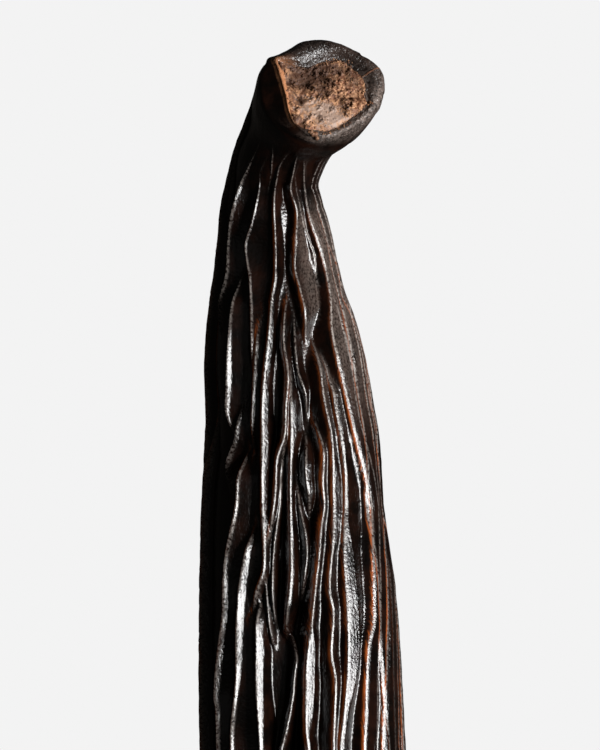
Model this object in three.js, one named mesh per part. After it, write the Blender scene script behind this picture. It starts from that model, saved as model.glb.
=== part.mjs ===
// A cured vanilla pod as one closed solid, in millimetres.
// It lies along Y on its pressed underside, with +Z up and the stem end at +Y. The origin is the
// middle of its footprint. The neck hooks up off the table and flares to a broken, crumbly face,
// the skin is pleated lengthwise, and the far end tapers to a blunt tip that curls aside.

import * as THREE from "three";

// Driving dimensions. Distances along the pod are measured from the broken stem face.
const routeLength = 166; // along the middle of the pod
const pressedDepth = 0.22; // how far the underside is pressed flat by its own weight
const pleatDepth = 0.52; // from a crest down to the valley beside it
const faceNormal = new THREE.Vector3(0.17, 0.47, 0.866).normalize(); // the way the broken face looks
const faceTurn = 2.2; // over this distance the pod turns from its route into the plane of the face
const rimStart = 0.05; // from here to rimEnd the rim's outline passes into the round neck
const rimEnd = 1.1;
const crestRounding = 0.28; // 0 for knife-sharp crests
const crestReach = 0.3; // how far a crest draws the columns towards itself
const fullHalfWidth = 3.4; // where the pod is narrower than this, its pleats are smaller too
const crumbHeight = 0.12; // relief of the broken face
const crumbSize = 0.45; // from one crumb of the broken face to the next

// How finely the skin is divided. Columns lie closer at the crests.
const columns = 88; // round the pod
const rows = 58; // along the pod
const rowCrowding = 1.6; // above 1, rows lie closer towards the stem end
const samplesRound = 720; // where each row looks for its crests

// The middle of the pod: [right of the stem's line, distance along, lift off the table]
const route = [
  [1.2, 1.88, 3.35],
  [0.22, 2.75, 2.5],
  [-0.58, 4.0, 1.5],
  [-1.04, 5.3, 0.75],
  [-1.19, 6.7, 0.35],
  [-1.03, 8.2, 0.15],
  [-0.89, 10.2, 0],
  [-0.66, 12.4, 0],
  [-0.36, 16, 0],
  [-0.31, 19, 0],
  [-0.15, 22, 0],
  [0.1, 28.4, 0],
  [1.0, 50, 0],
  [1.7, 80, 0],
  [1.1, 115, 0],
  [-1.3, 143, 0],
  [-3.6, 156, 0.15],
  [-6.0, 163.5, 0.6],
];

// Half the pod's width, and its thickness as a share of its width: [distance along, value]
const halfWidth = profile([
  [0, 2.2], [1.4, 2.24], [3, 1.9], [4.6, 1.86], [6.4, 2.08], [8.2, 2.38], [9.4, 2.5], [10.4, 2.8], [11.2, 2.98],
  [13, 3.24], [14.8, 3.35], [16, 3.48], [19, 3.66], [22, 3.9], [28.5, 4.12], [55, 4.32], [100, 4.15],
  [130, 3.5], [148, 2.55], [158, 1.75], [164, 1.05], [routeLength, 0.75],
]);
const thicknessShare = profile([
  [0, 1], [5, 1], [12, 0.84], [22, 0.75], [40, 0.72], [130, 0.74], [160, 0.9], [routeLength, 1],
]);

// The rim of the broken face: [degrees round from its top direction, distance from its middle]
const rimRadius = roundProfile([
  [-175, 2.2], [-150, 2.22], [-118, 2.25], [-105, 2.42], [-97, 2.64], [-87, 2.34], [-71, 2.1], [-51, 2.07],
  [-33, 2.3], [-20, 2.5], [-6, 2.6], [8, 2.56], [20, 2.42], [43, 2.14], [62, 2.08], [77, 2.12], [90, 2.2],
  [110, 2.3], [128, 2.38], [146, 2.26], [160, 2.12],
]);

// The pleats that can be followed from above: [distance along, right of the stem's line].
// A pleat with runsOn goes on past its last point towards the tip.
const followedPleats = [
  { path: [[5, -2.1], [6, -2.55], [7.2, -2.85], [8.6, -2.95], [9.6, -3.1], [10.5, -3.4], [11.5, -3.7]] },
  { path: [[9.4, -2.55], [10.4, -2.7], [12, -2.9], [14, -2.95], [16.4, -2.95]] },
  { path: [[14.3, -2.55], [16, -2.8], [17, -3.2], [18.4, -3.25]] },
  { path: [[16.5, -2.35], [18.8, -2.6], [20.4, -2.95], [23.2, -3.1], [26.2, -3.45], [28.4, -3.3]], runsOn: true },
  { path: [[6, -1.7], [7.2, -1.95], [8.2, -2.25], [9.2, -2.15], [10.4, -2.05], [12.2, -2], [13.9, -2.05]] },
  { path: [[10.5, -1.2], [11.1, -1.5], [12, -1.8], [14.4, -1.95], [16.7, -2.1]] },
  { path: [[19.3, -1.9], [20.5, -2.2], [22, -2.45], [25, -2.55], [28.4, -2.75]], runsOn: true },
  {
    path: [[5.2, -0.9], [6.4, -1.05], [9.6, -1], [12.2, -1.3], [14, -1.5], [19.8, -1.5], [21.6, -1.5], [23, -2.05],
      [25, -1.95], [28.4, -1.8]],
    runsOn: true,
  },
  {
    path: [[10.4, -0.35], [11.2, -0.6], [12.2, -0.65], [13.6, -0.5], [16.4, -0.8], [18.6, -1.05], [20.6, -1.4],
      [23, -1.35], [28.4, -0.95]],
    runsOn: true,
  },
  { path: [[16, -0.6], [18.4, -0.8], [20.4, -1.1], [23.8, -1.1]] },
  { path: [[13.8, -0.35], [18.4, -0.4], [21.6, -0.35], [24, -0.65], [25.4, -0.35], [28.4, -0.5]], runsOn: true },
  { path: [[17.5, -0.1], [18.8, 0], [20.6, 0.3], [22.8, 0.1]] },
  { path: [[11.2, -0.1], [12.4, -0.15], [13.5, -0.05], [15.4, 0.45], [16.9, 0.25], [18, 0.25], [19.6, 0.5]] },
  {
    path: [[4.8, -0.1], [5.9, -0.4], [6.9, -0.15], [9.1, -0.25], [11, 0.15], [13.8, 0.55], [17.2, 0.95], [20.2, 0.8],
      [23.2, 0.5], [26, 0.15], [28.4, 0.25]],
    runsOn: true,
  },
  {
    path: [[6.4, -0.05], [8, 0.4], [9.9, 0.85], [11.3, 0.65], [14, 0.9], [17, 1.3], [20.4, 1.3], [22, 1.15],
      [23.4, 1.3], [26, 1.4], [28.4, 1.3]],
    runsOn: true,
  },
  { path: [[12.6, 1.05], [14.4, 1.35], [17, 1.75], [21, 1.75], [24, 1.9], [26, 1.85], [28.4, 1.6]], runsOn: true },
  {
    path: [[6, 0.15], [7.6, 0.5], [9.8, 1.1], [12.4, 1.3], [14.6, 1.8], [17, 2.4], [19.6, 2.8], [23.2, 2.9],
      [25, 2.65], [28.4, 2.5]],
    runsOn: true,
  },
  { path: [[13.5, 1.95], [16.8, 2.6], [19, 3], [22.4, 3.1], [28.4, 3.15]], runsOn: true },
  {
    path: [[7.5, 0.8], [8.8, 1.4], [10.6, 1.7], [12.4, 2.35], [15, 2.8], [17.8, 3.25], [21.4, 3.45], [25.6, 3.45],
      [28.4, 3.4]],
    runsOn: true,
  },
  { path: [[10, 1.95], [13, 2.75], [16, 3.2], [20, 3.6], [24, 3.85], [28.4, 3.95]], runsOn: true },
];

// The pleats that are made by rule
const slotsRound = 30; // places for pleats round the pod, evenly spaced
const firstFrontSlot = 9; // slots are counted from the middle of the underside; this one is at the left side
const followedEnd = 28.4; // the followed pleats pass into their slots from here on
const slidingLength = 24; // and reach them after this distance
const wanderAngle = 4.5; // degrees, how far a pleat strays from its slot
const branchCount = 26; // short pleats that cross from one slot to the next

const smooth = THREE.MathUtils.smoothstep;
const degToRad = THREE.MathUtils.degToRad;

// A repeatable draw from 0 to 1 for a whole number
function draw(n) {
  const spread = Math.sin(n * 12.9898 + 4.1414) * 43758.5453;
  return spread - Math.floor(spread);
}

// A smooth curve through [position, value] stations, level beyond both ends
function profile(stations) {
  const slope = stations.map((here, i) => {
    const before = stations[Math.max(i - 1, 0)];
    const after = stations[Math.min(i + 1, stations.length - 1)];
    return (after[1] - before[1]) / (after[0] - before[0]);
  });
  return (at) => {
    if (at <= stations[0][0]) return stations[0][1];
    const i = stations.findIndex((station) => station[0] > at) - 1;
    if (i < 0) return stations[stations.length - 1][1];
    const span = stations[i + 1][0] - stations[i][0];
    const t = (at - stations[i][0]) / span;
    const u = 1 - t;
    return (
      stations[i][1] * u * u * (1 + 2 * t) + slope[i] * span * t * u * u +
      stations[i + 1][1] * t * t * (1 + 2 * u) - slope[i + 1] * span * t * t * u
    );
  };
}

// The same for angles in degrees from -180 to 180, joined at the ends
function roundProfile(stations) {
  return profile([-360, 0, 360].flatMap((turn) => stations.map(([angle, value]) => [angle + turn, value])));
}

// The route through the pod's middle. Its body lies on the table, pressed a little flat.
function middleCurve() {
  const points = route.map(([right, along, lift]) => {
    const halfThickness = halfWidth(along) * thicknessShare(along);
    return new THREE.Vector3(right, -along, halfThickness - pressedDepth + lift);
  });
  return new THREE.CatmullRomCurve3(points, false, "centripetal");
}

const middle = middleCurve();
const rightAt = profile(route.map(([right, along]) => [along, right]));

// The ring's frame at a distance along the pod: its middle, its right and its top direction.
// Near the stem end the rings turn until they lie in the plane of the broken face.
function ringFrame(along) {
  const share = along / routeLength;
  const outward = middle.getTangentAt(share).negate();
  outward.lerp(faceNormal, 1 - smooth(along, 0, faceTurn)).normalize();
  const right = new THREE.Vector3(outward.y, -outward.x, 0).normalize();
  const top = new THREE.Vector3().crossVectors(right, outward);
  return { centre: middle.getPointAt(share), right, top, outward };
}

// Angles are measured round from the top, positive to the right
function followedAngle(pleat, along) {
  const at = Math.min(Math.max(along, pleat.from), followedEnd);
  const share = (pleat.across(at) - rightAt(at)) / halfWidth(at);
  return Math.asin(THREE.MathUtils.clamp(share, -0.995, 0.995));
}

function slotAngle(slot) {
  return (2 * Math.PI * (slot + 0.5)) / slotsRound - Math.PI;
}

function wave(along, period, seed) {
  return Math.sin(2 * Math.PI * (along / period + draw(seed)));
}

function wander(seed, along) {
  const longPeriod = 25 + 19 * draw(seed);
  const shortPeriod = 10 + 6 * draw(seed + 0.2);
  return degToRad(wanderAngle) * (wave(along, longPeriod, seed + 0.1) + 0.45 * wave(along, shortPeriod, seed + 0.3));
}

// How much of its full height a pleat made by rule has: it sinks away here and there
function presence(seed, along) {
  const lowest = 0.25;
  const period = 31 + 31 * draw(seed + 0.5);
  return lowest + (1 - lowest) * smooth(wave(along, period, seed + 0.6), -0.85, -0.2);
}

// Every pleat is two functions of the distance along the pod, its angle and its height share,
// and how wide its steep left flank and its gentle right flank are.
function followedAsPleats() {
  let slot = firstFrontSlot;
  return followedPleats.map((given, i) => {
    const path = given.path;
    const from = Math.max(path[0][0], 6);
    const pleat = { across: profile(path), from };
    const home = given.runsOn ? slotAngle(slot++) : 0;
    const last = path[path.length - 1][0];
    const startsAtNeck = path[0][0] < 7;
    return {
      angle: (along) => {
        const here = followedAngle(pleat, along);
        if (!given.runsOn) return here;
        const slid = smooth(along, followedEnd, followedEnd + slidingLength);
        const strayed = smooth(along, followedEnd, followedEnd + 10);
        return THREE.MathUtils.lerp(here, home, slid) + strayed * wander(i, along);
      },
      height: (along) => {
        const risen = startsAtNeck ? 1 : smooth(along, path[0][0] - 0.7, path[0][0] + 0.9);
        const sunk = given.runsOn ? 0 : smooth(along, last - 0.9, last + 0.7);
        const later = given.runsOn ? smooth(along, followedEnd, followedEnd + 8) : 0;
        return risen * (1 - sunk) * THREE.MathUtils.lerp(1, presence(i, along), later);
      },
      left: 0.2 + 0.1 * draw(i + 0.7),
      right: 0.3 + 0.25 * draw(i + 0.8),
    };
  });
}

function ruledPleats(taken) {
  const made = [];
  for (let slot = 0; slot < slotsRound; slot++) {
    if (slot >= firstFrontSlot && slot < firstFrontSlot + taken) continue;
    const seed = 100 + slot;
    made.push({
      angle: (along) => slotAngle(slot) + wander(seed, along),
      height: (along) => presence(seed, along),
      left: 0.22 + 0.1 * draw(seed + 0.7),
      right: 0.3 + 0.25 * draw(seed + 0.8),
    });
  }
  return made;
}

function branchPleats() {
  const made = [];
  for (let i = 0; i < branchCount; i++) {
    const seed = 200 + i;
    const start = THREE.MathUtils.lerp(followedEnd + 4, routeLength - 30, draw(seed));
    const length = 9 + 12 * draw(seed + 0.2);
    const slot = Math.floor(slotsRound * draw(seed + 0.4));
    const turn = draw(seed + 0.5) < 0.5 ? -1 : 1;
    made.push({
      angle: (along) => {
        const share = smooth(along, start, start + length);
        return slotAngle(slot + turn * share) + wander(seed, along) * 0.6;
      },
      height: (along) => 0.8 * smooth(along, start, start + 2) * (1 - smooth(along, start + length - 2, start + length)),
      left: 0.22,
      right: 0.35,
    });
  }
  return made;
}

function allPleats() {
  const taken = followedPleats.filter((pleat) => pleat.runsOn).length;
  return [...followedAsPleats(), ...ruledPleats(taken), ...branchPleats()];
}

const pleats = allPleats();

// The pleats grow out of the smooth neck and shrink again towards the tip
function sizeShare(along) {
  return Math.min(1, halfWidth(along) / fullHalfWidth);
}

function depthAt(along) {
  const atNeck = 0.1 + 0.9 * smooth(along, 4.2, 11);
  const offFace = smooth(along, 0.4, 3.5);
  return pleatDepth * atNeck * offFace * sizeShare(along);
}

// One row's pleats, with their angles and heights worked out
function crestsAt(along) {
  return pleats
    .map((pleat) => ({ angle: pleat.angle(along), height: pleat.height(along), left: pleat.left, right: pleat.right }))
    .filter((crest) => crest.height > 0.02);
}

function turnFrom(angle, crest) {
  const off = angle - crest.angle;
  return off - 2 * Math.PI * Math.round(off / (2 * Math.PI));
}

// How far the skin lies below the pod's outer form, and how near a crest it is, from 0 to 1
function skinAt(angle, crests, along, arc) {
  const scale = sizeShare(along);
  const joint = 4; // the higher, the sharper the valleys between two pleats
  let sum = 0;
  let crestness = 0;
  for (const crest of crests) {
    const off = turnFrom(angle, crest) * arc;
    const width = (off < 0 ? crest.left : crest.right) * scale;
    const x = off / width;
    const rise = crest.height * Math.exp(crestRounding - Math.hypot(x, crestRounding));
    sum += rise ** joint;
    crestness = Math.max(crestness, crest.height * Math.exp(-((off / (crestReach * scale)) ** 2)));
  }
  return { below: depthAt(along) * (1 - Math.min(1, sum ** (1 / joint))), crestness };
}

// Length of arc for each radian at an angle round the oval ring
function arcAt(angle, along) {
  const a = halfWidth(along);
  const b = a * thicknessShare(along);
  return Math.hypot(a * Math.cos(angle), b * Math.sin(angle));
}

// The angles of a row's columns. They crowd at the crests, so that the crests stay sharp.
function columnAngles(crests, along) {
  const reached = [0];
  for (let i = 0; i < samplesRound; i++) {
    const angle = (2 * Math.PI * (i + 0.5)) / samplesRound - Math.PI;
    const { crestness } = skinAt(angle, crests, along, arcAt(angle, along));
    reached.push(reached[i] + arcAt(angle, along) * (0.5 + crestness));
  }
  const whole = reached[samplesRound];
  const angles = [];
  let i = 0;
  for (let column = 0; column < columns; column++) {
    const wanted = (whole * column) / columns;
    while (reached[i + 1] < wanted) i++;
    const share = (wanted - reached[i]) / (reached[i + 1] - reached[i]);
    angles.push((2 * Math.PI * (i + share)) / samplesRound - Math.PI);
  }
  return angles;
}

function skinPoint(frame, along, angle, below) {
  const rim = rimRadius(THREE.MathUtils.radToDeg(angle));
  const outer = THREE.MathUtils.lerp(rim, halfWidth(along), smooth(along, rimStart, rimEnd));
  const across = (outer - below) * Math.sin(angle);
  const up = (outer * thicknessShare(along) - below) * Math.cos(angle);
  return frame.centre.clone().addScaledVector(frame.right, across).addScaledVector(frame.top, up);
}

function skinRow(along) {
  const frame = ringFrame(along);
  const crests = crestsAt(along);
  const angles = columnAngles(crests, along);
  const points = angles.map((angle) => {
    const { below } = skinAt(angle, crests, along, arcAt(angle, along));
    return skinPoint(frame, along, angle, below);
  });
  return { points, angles, frame };
}

// Rings inside an end ring, drawn towards its middle: [share of the ring, height above it, relief]
const faceRings = [[0.93, 0.12, 0], [0.82, -0.06, 0.3], [0.62, -0.2, 1], [0.4, -0.16, 1], [0.18, -0.2, 1]];
const tipRings = [[0.8, 0.3, 0], [0.4, 0.48, 0]];
const faceMiddleHeight = -0.15;
const tipMiddleHeight = 0.55;

// Bumps of one crumb's size, from -1 to 1, for a place on the face
function crumbsAt(point) {
  const coarse = Math.PI / crumbSize; // one bump and one dip across four crumbs
  const fine = 2 * coarse;
  const aslant = 0.6;
  const slow = Math.sin(coarse * point.x) * Math.sin(coarse * point.y);
  const fast = Math.sin(fine * (point.x + aslant * point.y)) * Math.sin(fine * (aslant * point.y - point.x));
  return 0.5 * slow + 0.5 * fast;
}

function capRow(end, outward, [share, height, relief]) {
  return end.points.map((point) => {
    const place = end.frame.centre.clone().lerp(point, share);
    return place.addScaledVector(outward, height + relief * crumbHeight * crumbsAt(place));
  });
}

// A closed body from rows of points, with a point at each end
function closedBody(start, bodyRows, end) {
  const positions = [start, ...bodyRows.flat(), end].flatMap((p) => [p.x, p.y, Math.max(p.z, 0)]);
  const last = bodyRows.length - 1;
  const at = (row, column) => 1 + row * columns + (column % columns);
  const faces = [];
  for (let column = 0; column < columns; column++) {
    faces.push(0, at(0, column), at(0, column + 1));
    for (let row = 0; row < last; row++) {
      faces.push(at(row, column), at(row + 1, column), at(row, column + 1));
      faces.push(at(row, column + 1), at(row + 1, column), at(row + 1, column + 1));
    }
    faces.push(at(last, column + 1), at(last, column), positions.length / 3 - 1);
  }
  const geometry = new THREE.BufferGeometry();
  geometry.setAttribute("position", new THREE.Float32BufferAttribute(positions, 3));
  geometry.setIndex(faces);
  return geometry;
}

function podGeometry() {
  const skin = [];
  for (let row = 0; row <= rows; row++) skin.push(skinRow(routeLength * (row / rows) ** rowCrowding));
  const stem = skin[0];
  const tip = skin[rows];
  const stemOut = stem.frame.outward;
  const tipOut = tip.frame.outward.clone().negate();
  const face = faceRings.map((ring) => capRow(stem, stemOut, ring)).reverse();
  const point = tipRings.map((ring) => capRow(tip, tipOut, ring));
  const faceMiddle = stem.frame.centre.clone().addScaledVector(stemOut, faceMiddleHeight);
  const tipMiddle = tip.frame.centre.clone().addScaledVector(tipOut, tipMiddleHeight);
  const bodyRows = [...face, ...skin.map((row) => row.points), ...point];
  const geometry = closedBody(faceMiddle, bodyRows, tipMiddle);
  geometry.computeBoundingBox();
  const footprint = geometry.boundingBox.getCenter(new THREE.Vector3());
  geometry.translate(-footprint.x, -footprint.y, 0);
  geometry.computeVertexNormals();
  return geometry;
}

function podMaterial() {
  return new THREE.MeshStandardMaterial({ color: 0x1c0f0a, roughness: 0.38, metalness: 0 });
}

const pod = new THREE.Mesh(podGeometry(), podMaterial());
pod.name = "vanilla_pod";

const group = new THREE.Group();
group.add(pod);

export default group;
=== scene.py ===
import math

import bpy
import numpy as np
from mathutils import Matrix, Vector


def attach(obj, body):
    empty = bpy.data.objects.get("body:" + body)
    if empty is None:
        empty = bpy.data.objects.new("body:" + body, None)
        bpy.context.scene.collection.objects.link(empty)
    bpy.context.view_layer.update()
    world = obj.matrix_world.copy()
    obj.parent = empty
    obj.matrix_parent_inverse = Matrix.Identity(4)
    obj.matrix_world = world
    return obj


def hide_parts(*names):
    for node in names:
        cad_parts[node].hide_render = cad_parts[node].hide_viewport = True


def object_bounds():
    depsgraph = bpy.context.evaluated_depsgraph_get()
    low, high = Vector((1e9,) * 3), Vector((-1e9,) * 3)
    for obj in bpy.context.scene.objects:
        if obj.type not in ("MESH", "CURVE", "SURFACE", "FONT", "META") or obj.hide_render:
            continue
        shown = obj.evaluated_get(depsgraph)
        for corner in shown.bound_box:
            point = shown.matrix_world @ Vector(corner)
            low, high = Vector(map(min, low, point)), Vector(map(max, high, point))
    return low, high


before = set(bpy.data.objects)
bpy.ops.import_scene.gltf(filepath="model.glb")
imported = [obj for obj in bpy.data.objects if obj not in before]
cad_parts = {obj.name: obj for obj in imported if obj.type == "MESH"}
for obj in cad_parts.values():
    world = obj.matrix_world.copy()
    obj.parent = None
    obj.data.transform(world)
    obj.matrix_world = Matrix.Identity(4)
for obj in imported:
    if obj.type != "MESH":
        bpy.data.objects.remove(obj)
cadLow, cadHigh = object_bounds()
print("frame loaded")

mm = 0.001


# Curves through a few stations

def profile(stations):  # smooth through [position, value] stations, level beyond both ends
    at = np.array([station[0] for station in stations], float)
    value = np.array([station[1] for station in stations], float)
    before = np.maximum(np.arange(len(at)) - 1, 0)
    after = np.minimum(np.arange(len(at)) + 1, len(at) - 1)
    slope = (value[after] - value[before]) / (at[after] - at[before])

    def read(x):
        x = np.clip(x, at[0], at[-1])
        i = np.clip(np.searchsorted(at, x, side="right") - 1, 0, len(at) - 2)
        span = at[i + 1] - at[i]
        t = (x - at[i]) / span
        u = 1 - t
        start = value[i] * u * u * (1 + 2 * t) + slope[i] * span * t * u * u
        return start + value[i + 1] * t * t * (1 + 2 * u) - slope[i + 1] * span * t * t * u

    return read


def roundProfile(stations):  # the same for angles in degrees from -180 to 180, joined at the ends
    turned = [[a + turn, v] for turn in (-360, 0, 360) for a, v in stations]
    read = profile(turned)
    return lambda angle: read(np.degrees(angle))


def ramp(x, low, high):  # 0 below low, 1 above high, smooth between
    t = np.clip((x - low) / (high - low), 0, 1)
    return t * t * (3 - 2 * t)


def mix(a, b, share):
    return a + (b - a) * share


def draw(n):  # a repeatable draw from 0 to 1 for a number
    wave = math.sin(n * 12.9898 + 4.1414) * 43758.5453
    return wave - math.floor(wave)


# The form of the pod, nearly the same as the solid's

pod = {
    "routeLength": 166.0,
    "pressedDepth": 0.22,      # how far the underside is pressed flat
    "faceNormal": (0.17, 0.47, 0.866),
    "columns": 400,            # round the pod, half as many beyond the fine part
    "fineEnd": 29.0,
    "fineRows": 165,
    "coarseRows": 108,
    "samplesRound": 1600,
    "columnCrowd": (0.3, 0.35, 1.1),   # columns everywhere, on the upper side, and at the crests
    "flowRadius": 3.8,                 # of the even tube that the grain is laid out on
}
relief = {
    "pleatDepth": 0.55,        # from a crest down to the valley beside it
    "deepest": 1.1,
    "crestRounding": 0.05,     # 0 for knife-sharp crests
    "valleyRounding": 0.016,
    "facetLean": math.radians(23),   # flat tops of crests lean to the right
    "leanWander": math.radians(5.5),
    "facetLimits": (-0.4, 1.32),     # radians from the outer form
    "gentlestFlank": 0.12,
    "fullSizeAt": 3.4,               # half width of the pod where pleats have their full size
    "sinking": 1.4,                  # how fast a pleat sinks away as its height falls to 0
    "lowHeight": 0.3,                # and below this height it sinks faster still
    "lowSinking": 3.0,
    "leftStart": 0.015,              # the left flank starts this far from the crest's line
    "crestReach": 0.16,              # columns crowd this near to a crest
    # The crest's line carries a painted highlight, and its left flank a painted amber glow of light through
    # the crest
    "lineWidth": 0.04,
    "amberPlace": 0.07,              # the painted amber glow lies this far left of the crest's line
    "amberWidth": 0.045,
    "neckView": (8.5, 10.0),         # up to here pleats are placed as they are seen from above
    "neckFolds": ((0.4, 2.0, 3.8), (0.6, 4.4, 7.4)),   # the depth grows by these shares between two places
}

# [right of the stem's line, distance along, lift off the table]
route = [
    [1.2, 1.88, 3.35], [0.22, 2.75, 2.5], [-0.58, 4.0, 1.5], [-1.09, 5.3, 0.75], [-1.19, 6.7, 0.35],
    [-1.03, 8.2, 0.15], [-0.93, 10.2, 0], [-0.72, 12.4, 0], [-0.4, 16, 0], [-0.36, 19, 0], [-0.15, 22, 0],
    [0.1, 28.4, 0], [1.0, 50, 0], [1.7, 80, 0], [1.1, 115, 0], [-1.3, 143, 0], [-3.6, 156, 0.15],
    [-6.0, 163.5, 0.6],
]
halfWidth = profile([
    [0, 2.2], [1.4, 2.24], [3, 1.9], [4.6, 1.86], [5.5, 1.87], [6.4, 2.08], [8.2, 2.36], [9.4, 2.54],
    [10.4, 2.77], [11.2, 2.95], [12.2, 3.11], [13, 3.21], [14.8, 3.31], [16, 3.44], [19, 3.62], [22, 3.9],
    [28.5, 4.12], [55, 4.32], [100, 4.15], [130, 3.5], [148, 2.55], [158, 1.75], [164, 1.05], [166, 0.75],
])
thicknessShare = profile([
    [0, 1], [5, 1], [7, 0.955], [8.2, 0.925], [9.4, 0.9], [10.4, 0.866], [11.2, 0.84], [13, 0.815],
    [14.8, 0.82], [16, 0.8], [19, 0.78], [22, 0.755], [40, 0.72], [130, 0.74], [160, 0.9], [166, 1],
])
rightAt = profile([[along, right] for right, along, lift in route])

# Where rows of the mesh lie closer: [distance along, share of rows]
rowCrowd = profile([
    [0, 1.9], [1, 1.7], [3, 1.3], [8, 1.05], [28, 1], [60, 0.6], [150, 0.6], [160, 1.4], [166, 3],
])

# The broken face, seen square on: degrees round from the side that lies lowest in the picture, with 90 at
# the right, and millimetres from its middle
rimRadius = roundProfile([
    [-175, 2.12], [-150, 2.24], [-134, 2.29], [-118, 2.27], [-105, 2.42], [-97, 2.64], [-87, 2.34],
    [-71, 2.1], [-51, 2.07], [-33, 2.3], [-20, 2.5], [-6, 2.6], [8, 2.56], [20, 2.42], [43, 2.14],
    [62, 2.08], [77, 2.12], [90, 2.2], [110, 2.3], [128, 2.38], [146, 2.24], [160, 2.08],
])
pithRadius = roundProfile([
    [-176, 1.3], [-157, 1.2], [-128, 1.14], [-112, 1.26], [-103, 1.6], [-96, 2.12], [-86, 1.92],
    [-71, 1.78], [-53, 1.79], [-34, 2.04], [-22, 2.28], [-10, 2.3], [2, 2.12], [15, 2.06], [30, 1.84],
    [46, 1.68], [63, 1.6], [84, 1.56], [98, 1.32], [127, 1.4], [150, 1.32],
])


def middleLine():  # dense points on the middle of the pod, with their share of its length
    points = []
    for right, along, lift in route:
        halfThickness = halfWidth(along) * thicknessShare(along)
        points.append([right, -along, float(halfThickness) - pod["pressedDepth"] + lift])
    points = np.array(points)
    steps = np.linalg.norm(np.diff(points, axis=0), axis=1)
    at = np.concatenate([[0], np.cumsum(steps)])
    dense = np.linspace(0, at[-1], 4000)
    line = np.stack([profile(list(zip(at, points[:, i])))(dense) for i in range(3)], axis=1)
    run = np.concatenate([[0], np.cumsum(np.linalg.norm(np.diff(line, axis=0), axis=1))])
    return line, run / run[-1]


middle, middleShare = middleLine()
middleSlope = np.gradient(middle, middleShare, axis=0)


def unit(v):
    return v / np.linalg.norm(v, axis=-1, keepdims=True)


def ringFrames(along):  # middle, right, top and outward direction of each ring
    share = along / pod["routeLength"]
    centre = np.stack([np.interp(share, middleShare, middle[:, i]) for i in range(3)], axis=-1)
    slope = np.stack([np.interp(share, middleShare, middleSlope[:, i]) for i in range(3)], axis=-1)
    turned = (1 - ramp(along, 0, 2.2))[..., None]
    outward = unit(mix(-unit(slope), unit(np.array(pod["faceNormal"])), turned))
    right = unit(np.stack([outward[..., 1], -outward[..., 0], 0 * along], axis=-1))
    return centre, right, np.cross(right, outward), outward
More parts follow.
